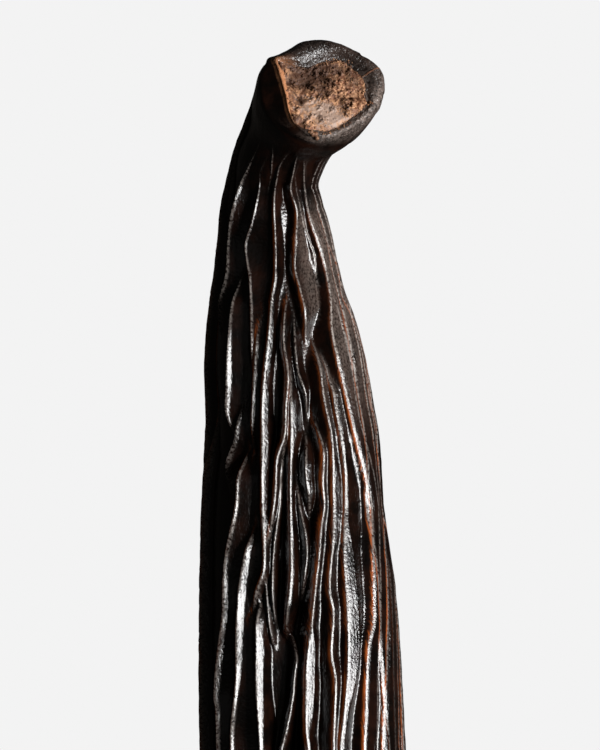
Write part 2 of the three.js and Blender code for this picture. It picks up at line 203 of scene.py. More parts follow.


# The pleats that can be followed from above, from the left side of the pod to the right.
# path is [distance along, right of the stem's line]. top is the width of the flat crest to the right of
# that line, and shelf the width of a band beside it that falls more, by the degrees in shade. lean is how
# far from level the right flank falls after that, in degrees, and left how steeply the left flank does.
# amber is how much painted orange-brown glow, standing for light that shines through the thin crest, shows on
# the left flank. shelf, lean and amber may be stations of [distance along, value], and height is 1 for a full
# pleat. One whose path ends at 28.4 runs on to the tip.
followedPleats = [
    {"path": [[4.36, -1.16], [5.0, -1.18], [5.5, -1.2], [6.1, -1.28]], "height": 0.7},
    {"path": [[4.1, 1.5], [4.36, 1.2], [4.64, 0.8], [4.88, 0.42], [5.1, 0.24]], "height": 0.8},
    {"path": [[4.96, -2.12], [5.96, -2.52], [7.16, -2.84], [8.36, -2.96], [9.16, -3.0], [9.96, -3.22],
              [10.76, -3.48], [11.56, -3.72]],
     "height": 0.9, "shelf": [[4.5, 0.1], [6, 0.12], [7.5, 0.02]], "shade": 3},
    {"path": [[9.36, -2.56], [10.36, -2.72], [11.96, -2.88], [13.56, -2.96], [15.16, -3.0], [15.96, -2.96]],
     "shelf": [[9, 0.02], [11, 0.06], [12.5, 0.16], [14, 0.18], [15.5, 0.02]], "shade": 5, "top": 0.04},
    {"path": [[14.28, -2.56], [15.16, -2.68], [15.96, -2.8], [17.08, -3.2], [17.56, -3.28], [18.24, -3.24]],
     "height": 0.7},
    {"path": [[16.48, -2.36], [17.56, -2.52], [18.76, -2.6], [20.36, -2.96], [21.56, -3.08], [23.16, -3.12],
              [24.36, -3.28], [26.08, -3.44], [26.96, -3.36], [28.4, -3.32]],
     "shelf": [[16.5, 0.0], [21, 0.02], [22.5, 0.12], [25, 0.1], [28, 0.04]], "shade": 2, "amber": 0.5},
    {"path": [[6.08, -1.72], [7.24, -1.96], [8.08, -2.24], [8.56, -2.24], [9.56, -2.08], [11.96, -2.0],
              [13.76, -2.04]], "height": 0.8, "amber": 0.3},
    {"path": [[11.08, -1.52], [11.56, -1.72], [12.16, -1.8], [13.56, -1.92], [15.16, -2.0], [16.56, -2.12]],
     "height": 0.8, "amber": 0.6},
    {"path": [[19.36, -1.92], [19.96, -2.08], [21.56, -2.4], [22.36, -2.48], [23.96, -2.56], [25.56, -2.56],
              [27.6, -2.76], [28.4, -2.76]],
     "shelf": [[19.5, 0.03], [21.5, 0.16], [24, 0.14], [26, 0.04], [28, 0.02]], "shade": 2,
     "amber": 0.4},
    {"path": [[5.24, -0.88], [6.36, -1.04], [7.96, -1.0], [9.56, -1.0], [10.36, -1.12], [11.56, -1.2],
              [12.76, -1.36], [13.96, -1.48], [15.56, -1.52], [18.76, -1.52], [20.36, -1.44], [21.36, -1.48],
              [22.04, -1.76], [23.24, -2.2]],
     "shelf": [[8, 0.0], [11, 0.12], [13, 0.22], [19, 0.2], [20.5, 0.05]], "shade": 9, "amber": 0.5},
    {"path": [[22.3, -1.76], [23.96, -1.76], [25.96, -1.76], [27.16, -1.68], [28.4, -1.6]],
     "shelf": [[22, 0.0], [23, 0.2], [26, 0.18], [28, 0.05]], "shade": 4, "lean": 52},
    {"path": [[20.9, -1.46], [22.16, -1.44], [23.56, -1.32], [24.6, -1.24]], "height": 0.6},
    {"path": [[10.36, -0.36], [10.76, -0.52], [11.76, -0.64], [12.36, -0.64], [13.56, -0.48], [14.76, -0.56],
              [15.96, -0.64], [16.76, -0.92], [17.96, -1.0], [19.16, -1.12], [20.36, -1.4]], "amber": 0.5},
    {"path": [[16.08, -0.6], [17.16, -0.76], [18.68, -0.84], [20.36, -1.08], [21.96, -1.16], [23.64, -1.12]],
     "height": 0.7},
    {"path": [[13.36, -0.36], [15.96, -0.36], [18.36, -0.4], [19.96, -0.36], [21.56, -0.36], [23.16, -0.56],
              [23.96, -0.68]], "height": 0.9,
     "shelf": [[13.6, 0.02], [14.4, 0.2], [16, 0.2], [17, 0.0], [21, 0.1]], "amber": 0.3},
    {"path": [[23.96, -0.36], [24.76, -0.16], [25.56, -0.24], [26.36, -0.32], [27.76, -0.6], [28.4, -0.8]],
     "height": 0.7},
    {"path": [[11.16, -0.12], [12.36, -0.16], [13.48, -0.04], [14.36, 0.28], [15.36, 0.44]], "height": 0.8},
    {"path": [[17.56, -0.12], [18.76, 0.0], [19.84, 0.24], [20.76, 0.32], [21.76, 0.2], [22.76, 0.08]],
     "height": 0.7},
    {"path": [[15.96, 0.36], [16.76, 0.24], [17.56, 0.24], [18.36, 0.36], [19.36, 0.52]],
     "height": 0.9, "shelf": [[15.8, 0.05], [16.8, 0.2], [18.2, 0.18], [19, 0.0]]},
    {"path": [[15.36, 0.72], [16.56, 0.92], [17.76, 0.88], [18.76, 0.96], [19.76, 0.84], [20.96, 0.76],
              [22.16, 0.6], [23.24, 0.48], [24.16, 0.36], [25.56, 0.24], [27.76, 0.24], [28.4, 0.32]],
     "shelf": [[23.6, 0.0], [24.6, 0.28], [27, 0.28], [28, 0.05]], "shade": 4, "amber": 0.8},
    {"path": [[4.76, -0.12], [5.36, -0.28], [5.96, -0.4], [6.84, -0.16], [7.96, -0.2], [9.08, -0.24],
              [10.04, -0.04], [10.96, 0.16], [11.84, 0.32], [12.36, 0.4]],
     "lean": 47, "top": 0.06, "height": 1.1, "amber": 0.7},
    {"path": [[6.36, -0.04], [7.08, 0.08], [7.96, 0.4], [8.96, 0.72], [9.9, 0.86]],
     "lean": 75, "left": 1.3, "top": 0.025, "shelf": 0.0, "height": 0.85},
    {"path": [[12.36, 0.76], [13.56, 0.84], [14.56, 0.96], [15.76, 1.2], [16.36, 1.28], [17.96, 1.32],
              [20.36, 1.32], [22.16, 1.16], [23.08, 1.32], [24.76, 1.24], [25.76, 1.4], [28.4, 1.32]],
     "shelf": [[16.8, 0.0], [17.8, 0.28], [20, 0.28], [21, 0.02]], "shade": 10, "left": 1.35,
     "amber": 0.3},
    {"path": [[13.16, 1.08], [14.36, 1.32], [15.36, 1.48], [16.56, 1.68], [17.76, 1.8], [20.76, 1.76],
              [23.16, 1.88], [24.76, 1.92], [26.76, 1.8], [28.4, 1.6]],
     "shelf": [[13.2, 0.1], [14.5, 0.16], [17, 0.05], [19.5, 0.1], [21, 0.36], [25, 0.4], [27, 0.1]],
     "shade": 5, "amber": 0.3},
    {"path": [[4.96, 0.2], [5.96, 0.16], [7.16, 0.36], [8.12, 0.68], [8.96, 0.92], [9.88, 1.08], [10.96, 1.2],
              [11.96, 1.24], [13.16, 1.48], [14.36, 1.76], [15.76, 2.08], [16.96, 2.4], [18.16, 2.68],
              [19.36, 2.8], [23.48, 2.88], [24.44, 2.68], [28.4, 2.52]],
     "shelf": [[5.4, 0.05], [6.2, 0.2], [7.6, 0.2], [9, 0.1], [13, 0.1], [15, 0.2], [20, 0.1]],
     "shade": 11, "lean": [[5, 58], [12, 58], [15, 52]], "left": 1.2, "top": 0.05, "height": 1.1,
     "amber": [[8, 0.2], [13, 0.4], [15, 1.0]]},
    {"path": [[10.4, 1.2], [11.4, 1.62], [12.4, 1.92], [13.56, 2.1], [15.16, 2.24], [15.96, 2.44],
              [17.16, 2.76], [18.36, 2.96], [19.96, 3.08], [21.96, 3.12], [28.4, 3.16]],
     "shelf": [[10.4, 0.05], [11.4, 0.3], [12.8, 0.35], [14, 0.2], [16, 0.15], [20, 0.12]], "shade": 6,
     "lean": [[10, 58], [13, 56], [16, 54]], "left": 1.3,
     "height": 0.8},
    {"path": [[7.48, 0.8], [7.96, 1.0], [8.84, 1.4], [9.64, 1.56], [10.48, 1.64], [11.24, 2.0], [12.16, 2.32],
              [13.16, 2.52], [15.56, 2.92], [16.36, 3.06], [19.16, 3.28], [22.36, 3.46], [24.76, 3.44],
              [28.4, 3.32]],
     "shelf": [[7.5, 0.05], [9, 0.15], [12, 0.15], [15, 0.25], [20, 0.2], [26, 0.15]], "shade": 8,
     "lean": [[7, 66], [12, 62], [16, 56]], "left": 1.1, "top": 0.05,
     "amber": 1.0},
    {"path": [[7.36, 1.24], [8.36, 1.34], [9.36, 1.62], [10.56, 2.05], [12.16, 2.55], [13.56, 2.9],
              [16.36, 3.25], [20.36, 3.58], [23.16, 3.78], [25.96, 3.92], [28.4, 4.02]],
     "shelf": [[7.4, 0.1], [9, 0.3], [14, 0.3], [20, 0.2], [28, 0.2]], "shade": 9, "lean": 66,
     "height": 0.8, "amber": 0.6},
]
followed = {
    "end": 28.4,               # from here they pass into their slots
    "slidingLength": 24.0,
    "strayLength": 10.0,
    "sinkLength": 8.0,
    "neckEnd": 6.5,            # pleats that start before this rise over a longer way
    "neckRise": (1.6, 1.2),    # millimetres before and after the first place of the path
    "rise": (0.7, 1.3),
    "fall": (1.5, 0.7),        # and before and after the last place
    "leftSide": -1.7,          # further left than this the flank between two crests lies level
}
ruled = {
    "slotsRound": 31,        # evenly spaced places for pleats
    "firstFrontSlot": 9,     # counted from the middle of the underside, this one is at the left side
    "wanderAngle": math.radians(4.5),
    "branches": 30,          # short pleats that cross from one slot to the next
    "leastHeight": 0.25,     # where a pleat has sunk away
    "sunkPart": (-0.85, -0.2),   # of a wave between -1 and 1
}


def slotAngle(slot):
    return 2 * math.pi * (slot + 0.5) / ruled["slotsRound"] - math.pi


def wander(seed, along):  # how a pleat made by rule strays round the pod
    long = np.sin(along / (4 + 3 * draw(seed)) + 6.3 * draw(seed + 0.1))
    short = np.sin(along / (1.6 + draw(seed + 0.2)) + 6.3 * draw(seed + 0.3))
    return ruled["wanderAngle"] * (long + 0.45 * short)


def presence(seed, along):  # how a pleat made by rule sinks away here and there
    wave = np.sin(along / (5 + 5 * draw(seed + 0.5)) + 6.3 * draw(seed + 0.6))
    return mix(ruled["leastHeight"], 1, ramp(wave, *ruled["sunkPart"]))


# From above, the middle of the pod and half its width: at the neck this is wider than one ring
sightMiddle = profile([
    [2.9, 0.46], [3.4, 0.16], [3.9, -0.18], [4.36, -0.52], [4.84, -0.84], [5.32, -1.1], [5.8, -1.12],
    [6.36, -1.08], [6.96, -1.06], [7.56, -1.04], [8.2, -1.03],
    *[[a, float(rightAt(a))] for a in range(9, 40)],
])
sightHalf = profile([
    [2.9, 2.54], [3.4, 2.44], [3.9, 2.3], [4.36, 2.12], [4.84, 1.96], [5.32, 1.84], [5.8, 1.9],
    [6.36, 2.04], [6.96, 2.18], [7.56, 2.3], [8.2, 2.4], *[[a, float(halfWidth(a))] for a in range(9, 40)],
])


def readAlong(value):  # a number, or stations of one along the pod
    return profile(value) if isinstance(value, list) else (lambda along: value)


def runsOn(given):
    return given["path"][-1][0] == followed["end"]


def followedPleat(given, i, slot):
    path = given["path"]
    across = profile(path)
    first, last = path[0][0], path[-1][0]
    goesOn = runsOn(given)

    def angle(along):
        at = np.clip(along, first, followed["end"])
        here = np.arcsin(np.clip((across(at) - sightMiddle(at)) / sightHalf(at), -0.995, 0.995))
        if not goesOn:
            return here
        slid = ramp(along, followed["end"], followed["end"] + followed["slidingLength"])
        strayed = ramp(along, followed["end"], followed["end"] + followed["strayLength"])
        return mix(here, slotAngle(slot), slid) + strayed * wander(i, along)

    def height(along):
        before, after = followed["neckRise" if first < followed["neckEnd"] else "rise"]
        risen = ramp(along, first - before, first + after)
        before, after = followed["fall"]
        sunk = 0 if goesOn else ramp(along, last - before, last + after)
        later = ramp(along, followed["end"], followed["end"] + followed["sinkLength"]) if goesOn else 0
        return given.get("height", 1.0) * risen * (1 - sunk) * mix(1, presence(i, along), later)

    def slant(along):  # a line that runs aslant is nearer than it is straight across
        at = np.clip(along, first + 0.1, last - 0.1)
        return 1 / np.hypot(1, (across(at + 0.1) - across(at - 0.1)) / 0.2)

    onLeft = path[len(path) // 2][1] < followed["leftSide"]
    lean = -3 + 6 * draw(i + 0.8) if onLeft else 50 + 10 * draw(i + 0.8)
    return {"angle": angle, "height": height, "slant": slant, "followed": True,
            "left": given.get("left", 1.7 + 1.0 * draw(i + 0.7)), "lean": readAlong(given.get("lean", lean)),
            "top": given.get("top", (0.1 if onLeft else 0.035) + 0.045 * draw(i + 0.3)), "seed": i,
            "amber": readAlong(given.get("amber", 0.0)),
            "shelf": readAlong(given.get("shelf", 0.03 * draw(i + 0.4))),
            "shade": math.radians(given.get("shade", 6 + 3 * draw(i + 0.5)))}


def ruledPleat(slot):
    seed = 100 + slot
    return {"angle": lambda along: slotAngle(slot) + wander(seed, along),
            "height": lambda along: presence(seed, along),
            "left": 1.2 + 1.2 * draw(seed + 0.7), "lean": readAlong(42 + 20 * draw(seed + 0.8)),
            "top": 0.06 + 0.05 * draw(seed + 0.9), "seed": seed,
            "shelf": readAlong(0.12 * draw(seed + 0.95)), "shade": math.radians(6),
            "amber": readAlong(0.7 * draw(seed + 0.4))}


def branchPleat(i):
    seed = 200 + i
    start = mix(followed["end"] + 4, pod["routeLength"] - 30, draw(seed))
    length = 9 + 12 * draw(seed + 0.2)
    slot = math.floor(ruled["slotsRound"] * draw(seed + 0.4))
    turn = -1 if draw(seed + 0.5) < 0.5 else 1
    return {"angle": lambda along: (2 * math.pi * (slot + 0.5 + turn * ramp(along, start, start + length))
                                    / ruled["slotsRound"] - math.pi + 0.6 * wander(seed, along)),
            "height": lambda along: 0.8 * ramp(along, start, start + 2)
            * (1 - ramp(along, start + length - 2, start + length)),
            "left": 1.8, "lean": readAlong(50), "top": 0.06, "seed": seed,
            "shelf": readAlong(0.05), "shade": 0.0, "amber": readAlong(0.5 * draw(seed + 0.4))}


def allPleats():
    made = []
    slot = ruled["firstFrontSlot"]
    for i, given in enumerate(followedPleats):
        made.append(followedPleat(given, i, slot))
        slot += 1 if runsOn(given) else 0
    front = range(ruled["firstFrontSlot"], slot)
    made += [ruledPleat(s) for s in range(ruled["slotsRound"]) if s not in front]
    made += [branchPleat(i) for i in range(ruled["branches"])]
    return made


pleats = allPleats()


def sizeShare(along):  # pleats shrink with the pod towards both ends
    return np.minimum(1, halfWidth(along) / relief["fullSizeAt"])


def neckShare(along):  # the neck's folds are shallower than the rest
    return sum(share * ramp(along, low, high) for share, low, high in relief["neckFolds"])


def wrapTurn(angle):
    return angle - 2 * math.pi * np.round(angle / (2 * math.pi))


def lobe(angle, place, power):  # 1 in the middle of a place and 0 beyond its reach, given in degrees
    middle, reach = place
    return np.exp(-((wrapTurn(angle - math.radians(middle)) / math.radians(reach)) ** power))


def arcAt(angle, along):  # length of arc for each radian round the oval ring
    a = halfWidth(along)
    b = a * thicknessShare(along)
    return np.hypot(a * np.cos(angle), b * np.sin(angle))


def facetTurn(angle, along, lean):  # from the outer form to a band that leans this far from level
    base = np.arctan(thicknessShare(along) * np.tan(np.clip(angle, -1.45, 1.45)))
    return np.clip(lean - base, *relief["facetLimits"])


def facetSlope(angle, along, lean):  # how steeply such a band falls to the right
    return np.tan(facetTurn(angle, along, lean))


def facetShare(angle, along, lean):  # how far round the pod it reaches, for its width from above
    return np.cos(facetTurn(angle, along, lean)) / np.cos(lean)


def seenFrom(angle, along):  # where a place on the upper side lies from above: angle and distance
    place = skinPlace(along, angle, 0)
    seenAlong = -place[..., 1]
    seenAngle = np.arcsin(np.clip((place[..., 0] - sightMiddle(seenAlong)) / sightHalf(seenAlong), -1, 1))
    near = 1 - ramp(along, *relief["neckView"])
    upper = np.cos(angle) > 0
    return mix(angle, np.where(upper, seenAngle, angle), near), mix(along, seenAlong, near)


def skinAt(angle, along):
    # For arrays of places: depth below the outer form, nearness of a crest, the crest's painted highlight
    # line, the painted amber glow of light through thin crests, and how far a place lies on the left flank of
    # a pleat
    scale = sizeShare(along)
    arc = arcAt(angle, along)
    seenAngle, seenAlong = seenFrom(angle, along)
    soft = relief["valleyRounding"]
    rounding = relief["crestRounding"]
    total = np.exp(-relief["deepest"] * neckShare(along) / soft)
    crest, line, amber, leftward = [np.zeros_like(angle) for i in range(4)]
    for pleat in pleats:
        isFollowed = pleat.get("followed", False)
        at = seenAlong if isFollowed else along
        height = pleat["height"](at)
        centre = pleat["angle"](at)
        off = wrapTurn((seenAngle if isFollowed else angle) - centre) * arc / scale
        if isFollowed:
            off = off * pleat["slant"](at)
        wandered = relief["leanWander"] * np.sin(at * (1.2 + 1.3 * draw(pleat["seed"])) + pleat["seed"])
        topLean = relief["facetLean"] + wandered
        shelfLean = relief["facetLean"] + 0.3 * wandered + pleat["shade"]
        top = pleat["top"] * facetShare(centre, at, topLean)
        shelf = pleat["shelf"](at) * facetShare(centre, at, shelfLean)
        before = np.minimum(off, 0)
        beyond = np.maximum(off - top - shelf, 0)
        halfway = centre + 0.5 * beyond / arc
        flank = np.maximum(facetSlope(halfway, at, np.radians(pleat["lean"](at))), relief["gentlestFlank"])
        sunk = relief["sinking"] * (1 - height)
        sunk = sunk + relief["lowSinking"] * np.maximum(relief["lowHeight"] - height, 0)
        rise = -relief["pleatDepth"] * sunk - flank * beyond
        rise -= pleat["left"] * (np.sqrt(before ** 2 + rounding ** 2) - rounding)
        rise -= facetSlope(centre, at, topLean) * np.clip(off, 0, top)
        rise -= facetSlope(centre, at, shelfLean) * np.clip(off - top, 0, shelf)
        total += np.exp(rise / soft)
        leftward += np.where(off < -relief["leftStart"], np.exp(rise / soft), 0)
        crest = np.maximum(crest, height * np.exp(-(((before + beyond) / relief["crestReach"]) ** 2)))
        line = np.maximum(line, height * np.exp(-(((off - 0.5 * top) / relief["lineWidth"]) ** 2)))
        # Left flanks on the right side of the pod are seen more from the side, so their painted amber glow is
        # narrower
        reach = np.maximum(1 - 0.3 * pleat["left"] * ramp(centre, 0.1, 0.9), 0.35)
        glow = np.exp(-(((off / reach + relief["amberPlace"]) / relief["amberWidth"]) ** 2))
        amber = np.maximum(amber, pleat["amber"](at) * np.minimum(height, 1) * glow)
    below = -soft * np.log(total) * scale
    return below, crest, line * ramp(along, 2.5, 3.5), amber * ramp(along, 5.5, 8), leftward / total


# The skin: rings of points from under the pith, over the shoulder and the rim, and along to the tip

face = {
    "edgeRounding": 0.12,
    "edgeLength": 0.3,                # along the pod, how far the rounding reaches
    "rimLength": (0.05, 1.1),         # and where the rim's outline passes into the round form
    "wallBulge": 0.24,                # the left wall stands out beyond the straight edge of the face
    "bulgePlace": (-80, 20),          # degrees round to its middle, and its reach
    "bulgeStart": (0.05, 0.6),
    "bulgeEnd": (0.5, 2.4),
    "shoulder": 0.13,                 # height of the dark shoulder between the rim and the pith
    "fullShoulder": 0.7,              # where it is this wide
    "lip": 0.05,                      # the shoulder's edge at the rim stands up by this much
    "shoulderRings": 22,
    "groove": 0.14,                   # how far the shoulder dips where it meets the pith
    "floor": 0.46,                    # the skin closes under the pith here
    # Rings under the pith: share of its radius, and height
    "underRings": ((0.4, -0.44), (0.8, -0.44), (0.95, -0.42), (0.985, -0.3)),
    "cutEdge": (-62, 38),             # where the edge is pale
    # Where the rim is wrinkled and carries painted sheen, on its right and lower side, which face the light
    "wrinkledSheenRim": (55, 65),
}


def columnAngles(along, columns):  # columns crowd at the crests and on the upper side
    samples = pod["samplesRound"]
    angle = (np.arange(samples) + 0.5) / samples * 2 * math.pi - math.pi
    grid, rowAlong = np.meshgrid(angle, along)
    crest = skinAt(grid, rowAlong)[1]
    upper = 0.55 + 0.45 * np.cos(grid)
    everywhere, above, atCrests = pod["columnCrowd"]
    weight = arcAt(grid, rowAlong) * (everywhere + above * upper + atCrests * crest * (0.35 + 0.65 * upper))
    reached = np.concatenate([np.zeros((len(along), 1)), np.cumsum(weight, axis=1)], axis=1)
    edges = np.arange(samples + 1) / samples * 2 * math.pi - math.pi
    wanted = np.arange(columns) / columns
    return np.stack([np.interp(wanted * reached[i, -1], reached[i], edges) for i in range(len(along))])


def skinPlace(along, angle, below):
    centre, right, top, outward = ringFrames(along)
    circle = halfWidth(along)
    rounding = face["edgeRounding"] * (1 - ramp(along, 0, face["edgeLength"])) ** 2
    radius = mix(rimRadius(angle), circle, ramp(along, *face["rimLength"])) - rounding
    bulge = face["wallBulge"] * ramp(along, *face["bulgeStart"]) * (1 - ramp(along, *face["bulgeEnd"]))
    radius = radius + bulge * lobe(angle, face["bulgePlace"], 2)
    across = (radius - below) * np.sin(angle)
    up = (radius * thicknessShare(along) - below) * np.cos(angle)
    return centre + right * across[..., None] + top * up[..., None]


def rowPositions(start, end, count):
    dense = np.linspace(start, end, 4000)
    reached = np.cumsum(rowCrowd(dense))
    reached = (reached - reached[0]) / (reached[-1] - reached[0])
    return np.interp(np.linspace(0, 1, count), reached, dense)


def flowAt(count, along):  # a place on an even tube, for grain that runs along the pod
    turn = np.arange(count) / count * 2 * math.pi
    radius = pod["flowRadius"]
    return np.stack([radius * np.cos(turn), radius * np.sin(turn), along * np.ones(count)], axis=-1)


def ringOf(places, flow, *values):
    numbers = [np.broadcast_to(value, len(places)) for value in values]
    return np.concatenate([places, flow, np.stack(numbers, axis=-1)], axis=-1)


def onFace(u, v, height):  # a place by its millimetres right, down and out from the middle of the broken face
    centre, right, top, outward = ringFrames(np.array([0.0]))
    u, v, height = [np.asarray(value, float)[..., None] for value in (u, v, height)]
    return centre[0] + right[0] * u + top[0] * v + outward[0] * height


def shoulderHeight(angle, share):  # of the dark shoulder, from 0 at the rim to 1 at the pith
    rim = rimRadius(angle) - face["edgeRounding"]
    width = np.clip((rim - pithRadius(angle)) / face["fullShoulder"], 0, 1)
    rise = face["shoulder"] * np.sin(math.pi * np.minimum(share / 0.75, 1)) ** 0.8
    dip = face["groove"] * share ** 3
    return face["lip"] * np.sqrt(np.minimum(share / 0.2, 1)) + width * rise - dip * width


def rimLook(angle):  # how pale the cut edge is round the rim, and how wrinkled, which also sets how much painted sheen it carries
    pale = lobe(angle, face["cutEdge"], 6)
    rough = 0.15 + 0.85 * lobe(angle, face["wrinkledSheenRim"], 4)
    return pale, rough * ramp(wrapTurn(angle + math.radians(20)) % (2 * math.pi), 0, 0.4) * (1 - pale)


def faceRings(angle):  # from the middle out: under the pith, up the groove, over the shoulder to the rim
    pith = pithRadius(angle)
    rim = rimRadius(angle) - face["edgeRounding"]
    pale, rough = rimLook(angle)
    rings = [(pith * share, height + 0 * pith) for share, height in face["underRings"]]
    rings += [(mix(rim, pith, share), shoulderHeight(angle, share))
              for share in np.linspace(1, 0.04, face["shoulderRings"])]
    rows = [ringOf(onFace([[0.0]], [[0.0]], [[-face["floor"]]])[0], flowAt(1, 0.0), 0.0, 0.0, 1.0, 0.0, 0.0)]
    for radius, height in rings:
        places = onFace(radius * np.sin(angle), radius * np.cos(angle), height)
        # Shoulder, pale cut edge, and painted sheen where the rim is wrinkled
        rows.append(ringOf(places, flowAt(len(angle), -radius), 0.0, 0.0, 0.3 + 0.7 * rough, pale, rough))
    return rows


tip = {
    "rings": ((0.93, 0.16), (0.8, 0.28), (0.62, 0.34), (0.45, 0.3), (0.25, 0.24)),   # share, and height
    "pit": 0.22,
    "look": (0.2, 0.0, 0.6, 0.0, 0.3),   # painted amber glow, painted highlight line, shoulder, cut edge and painted sheen
}


def tipRings(angle, ring):  # the blunt tip closes over a small pit
    centre, right, top, outward = ringFrames(np.array([pod["routeLength"]]))
    rows = []
    for share, height in tip["rings"]:
        places = mix(centre[0], ring, share) - outward[0] * height
        flow = flowAt(len(angle), pod["routeLength"] + 1 - share)
        rows.append(ringOf(places, flow, *tip["look"]))
    end = (centre[0] - outward[0] * tip["pit"])[None]
    return rows + [ringOf(end, flowAt(1, pod["routeLength"] + 1), *tip["look"])]


def facesBetween(before, after, first, second):  # joins two rings, where the second may have half the points
    a = first + np.arange(before)
    b = second + np.arange(after)
    a2, b2 = np.roll(a, -1), np.roll(b, -1)
    if after == before:
        return np.stack([a, b, b2, a2], axis=-1).tolist()
    if after == 1:
        return np.stack([a, np.full(before, second), a2], axis=-1).tolist()
    if before == 1:
        return np.stack([np.full(after, first), b, b2], axis=-1).tolist()
    even, odd, following = a[::2], a[1::2], np.roll(a[::2], -1)
    faces = np.concatenate([np.stack([even, b, odd], axis=-1), np.stack([odd, b, b2], axis=-1),
                            np.stack([odd, b2, following], axis=-1)])
    return faces.tolist()


def newPiece(name, data):
    piece = bpy.data.objects.new(name, data)
    bpy.context.scene.collection.objects.link(piece)
    return piece


def closedMesh(name, rings, labels):
    table = np.concatenate(rings)
    table[:, 2] = np.maximum(table[:, 2], 0)
    starts = np.concatenate([[0], np.cumsum([len(ring) for ring in rings])])
    faces = []
    for i in range(len(rings) - 1):
        faces += facesBetween(len(rings[i]), len(rings[i + 1]), starts[i], starts[i + 1])
    mesh = bpy.data.meshes.new(name)
    mesh.from_pydata((table[:, :3] * mm).tolist(), [], faces)
    for i, label in enumerate(labels):
        values = np.ascontiguousarray(table[:, 6 + i], dtype=np.float32)
        mesh.attributes.new(label, "FLOAT", "POINT").data.foreach_set("value", values)
    flow = np.ascontiguousarray(table[:, 3:6], dtype=np.float32)
    mesh.attributes.new("flow", "FLOAT_VECTOR", "POINT").data.foreach_set("vector", flow.ravel())
    mesh.validate()
    mesh.polygons.foreach_set("use_smooth", [True] * len(mesh.polygons))
    return newPiece(name, mesh)


def footprintShift(points):  # moves the raw form onto the solid's own place
    low, high = points.min(axis=0), points.max(axis=0)
    solidMiddle = (cadLow + cadHigh) / 2 / mm
    return np.array([solidMiddle[0] - (low[0] + high[0]) / 2, solidMiddle[1] - (low[1] + high[1]) / 2, 0])


# Painted sheen: grey laid on the broad folds right of the neck and on the wrinkled rim, where they face the
# light, and kept off left flanks and valleys, which lie in shade
sheenPlaces = {
    "side": (0.25, 0.7),       # radians to the right of the top
    "start": (5.5, 8.0),
    "end": (11.5, 17.0),
    "paintedSheen": 0.38,
    "rimSheen": 0.5,
    "valley": (0.12, 0.45),    # depths over which the painted sheen thins out, painting the valleys in shade
}


def sheenFolds(angle, along):  # how far a place is on the broad folds to the right of the neck that carry painted sheen
    return ramp(angle, *sheenPlaces["side"]) * ramp(along, *sheenPlaces["start"]) * (1 - ramp(along, *sheenPlaces["end"]))


def bodyRings(along, columns):
    angles = columnAngles(along, columns)
    grid = np.repeat(along[:, None], columns, axis=1)
    below, crest, line, amber, leftward = skinAt(angles, grid)
    places = skinPlace(grid, angles, below)
    pale, rough = rimLook(angles)
    pale = pale * (1 - ramp(grid, 0.02, 0.1))
    rough = rough * (1 - ramp(grid, 0.2, 1.0))
    folds = sheenFolds(angles, grid)
    line = line * (0.55 + 0.45 * folds)  # the painted highlight is fainter everywhere else
    # Painted sheen, kept off flanks that face left and fading into the valleys as painted shade
    foldSheen = sheenPlaces["paintedSheen"] * folds * (1 - leftward) * (1 - 0.8 * ramp(below, *sheenPlaces["valley"]))
    paintedSheen = np.maximum(sheenPlaces["rimSheen"] * rough, foldSheen)
    rows = [ringOf(places[i], flowAt(columns, along[i]), amber[i], line[i], 0.5 * rough[i], pale[i], paintedSheen[i])
            for i in range(len(along))]
    return rows, angles


def makeSkin():
    fine, angles = bodyRings(rowPositions(0, pod["fineEnd"], pod["fineRows"]), pod["columns"])
    further = rowPositions(pod["fineEnd"], pod["routeLength"], pod["coarseRows"])[1:]
    coarse, coarseAngles = bodyRings(further, pod["columns"] // 2)
    body = fine + coarse
    rings = faceRings(angles[0]) + body + tipRings(coarseAngles[-1], coarse[-1][:, :3])
    shift = footprintShift(np.concatenate(body)[:, :3])
    for ring in rings:
        ring[:, :3] += shift
    return closedMesh("podSkin", rings, ["amber", "line", "shoulder", "cutEdge", "paintedSheen"]), shift


skin, shift = makeSkin()
print("skin made", sum(len(polygon.vertices) - 2 for polygon in skin.data.polygons), "triangles")


# The camera looks straight down on the stem end

camera = {
    "height": 0.8,
    "frameHeight": 30.0,           # millimetres of table from the top to the bottom of the picture
    "middle": (0.0, 13.36),        # right of the stem's line, and distance along
}


def makeCamera():
    data = bpy.data.cameras.new("camera")
    data.sensor_width = 36
    data.lens = data.sensor_width * camera["height"] / (camera["frameHeight"] * mm)
    data.clip_start, data.clip_end = 0.01, 20
    piece = newPiece("camera", data)
    right, along = camera["middle"]
    piece.location = ((right + shift[0]) * mm, (shift[1] - along) * mm, camera["height"])
    bpy.context.scene.camera = piece


makeCamera()
print("camera placed")


# Node trees

class Value:  # a socket that adds and multiplies like a number, and that a number can be divided by
    def __init__(self, tree, socket):
        self.tree = tree
        self.socket = socket

    def joined(self, operation, first, second):
        return self.tree.node("ShaderNodeMath", {"operation": operation}, {0: first, 1: second})

    def __add__(self, other):
        return self.joined("ADD", self, other)

    def __radd__(self, other):
        return self.joined("ADD", other, self)

    def __sub__(self, other):
        return self.joined("SUBTRACT", self, other)

    def __rsub__(self, other):
        return self.joined("SUBTRACT", other, self)

    def __mul__(self, other):
        return self.joined("MULTIPLY", self, other)

    def __rmul__(self, other):
        return self.joined("MULTIPLY", other, self)

    def __rtruediv__(self, other):
        return self.joined("DIVIDE", other, self)


